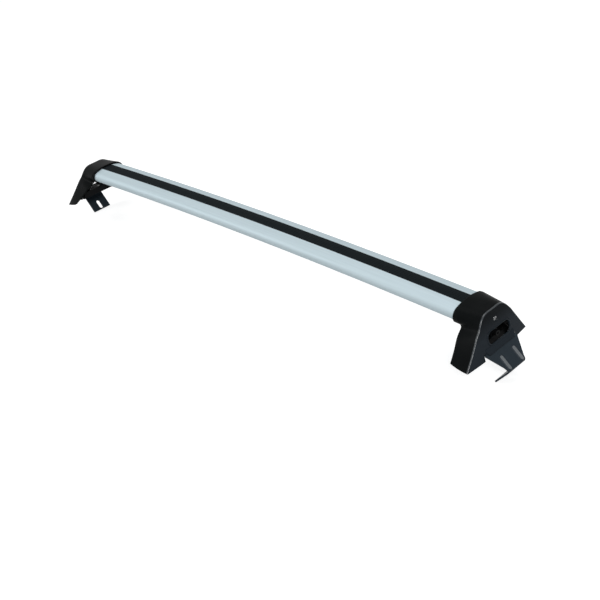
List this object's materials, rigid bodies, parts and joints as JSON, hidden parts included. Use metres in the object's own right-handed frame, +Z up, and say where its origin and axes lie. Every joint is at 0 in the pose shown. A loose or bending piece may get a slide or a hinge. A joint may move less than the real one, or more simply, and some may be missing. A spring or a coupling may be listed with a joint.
{
  "type": "roof rack crossbar",
  "caption": "Arched aluminium roof rack crossbar with a rubber strip along its top, black A-shaped end feet and folded steel clamps with slotted flanges for gripping a roof edge.",
  "frame": {"origin": "middle of the bar's length, at the mouth of the groove along its top", "axes": "+X along the bar to the right foot, -Y to the front, +Z up"},
  "size_m": [1.1926, 0.1599, 0.1343],
  "materials": {
    "bar_aluminium": "satin anodised",
    "strip_rubber": "matte, fine lengthwise grooves",
    "cover_plastic": "fine-grained satin black",
    "clamp_steel": "black powder coat",
    "bracket_steel": "black powder coat",
    "zinc_steel": "zinc plated",
    "bolt_steel": "black oxide",
    "pad_rubber": "matte moulded"
  },
  "bodies": {
    "crossbar": {"bar_extrusion": "bar_aluminium", "rubber_strip": "strip_rubber", "right_foot_cover": "cover_plastic", "right_cover_screw": "zinc_steel", "right_clamp_nut": "zinc_steel", "right_support_bracket": "bracket_steel", "right_bar_bolts": "zinc_steel", "right_bar_washers": "zinc_steel", "right_nut_plate": "zinc_steel", "right_front_pad": "pad_rubber", "right_rear_pad": "pad_rubber", "left_foot_cover": "cover_plastic", "left_cover_screw": "zinc_steel", "left_clamp_nut": "zinc_steel", "left_support_bracket": "bracket_steel", "left_bar_bolts": "zinc_steel", "left_bar_washers": "zinc_steel", "left_nut_plate": "zinc_steel", "left_front_pad": "pad_rubber", "left_rear_pad": "pad_rubber"},
    "right_clamp": {"right_clamp_plate": "clamp_steel", "right_clamp_washer": "bolt_steel"},
    "right_bolt": {"right_clamp_bolt": "bolt_steel"},
    "left_clamp": {"left_clamp_plate": "clamp_steel", "left_clamp_washer": "bolt_steel"},
    "left_bolt": {"left_clamp_bolt": "bolt_steel"}
  },
  "joints": [
    {"name": "right_bolt_turn", "type": "hinge", "parent": "right_clamp", "child": "right_bolt", "pos_m": [0.5536, 0, -0.05037], "axis": [-1, 0, 0], "range_deg": [0, 3601]},
    {"name": "right_clamp_slide", "type": "slide", "parent": "crossbar", "child": "right_clamp", "axis": [-1, 0, 0], "range_m": [0, 0.01]},
    {"name": "left_bolt_turn", "type": "hinge", "parent": "left_clamp", "child": "left_bolt", "pos_m": [-0.5536, 0, -0.05037], "axis": [1, 0, 0], "range_deg": [0, 3601]},
    {"name": "left_clamp_slide", "type": "slide", "parent": "crossbar", "child": "left_clamp", "axis": [1, 0, 0], "range_m": [0, 0.01]}
  ],
  "couplings": [
    {"joint": "right_bolt_turn", "follows": "right_clamp_slide", "rad_per_m": 6283.2},
    {"joint": "left_bolt_turn", "follows": "left_clamp_slide", "rad_per_m": 6283.2}
  ]
}
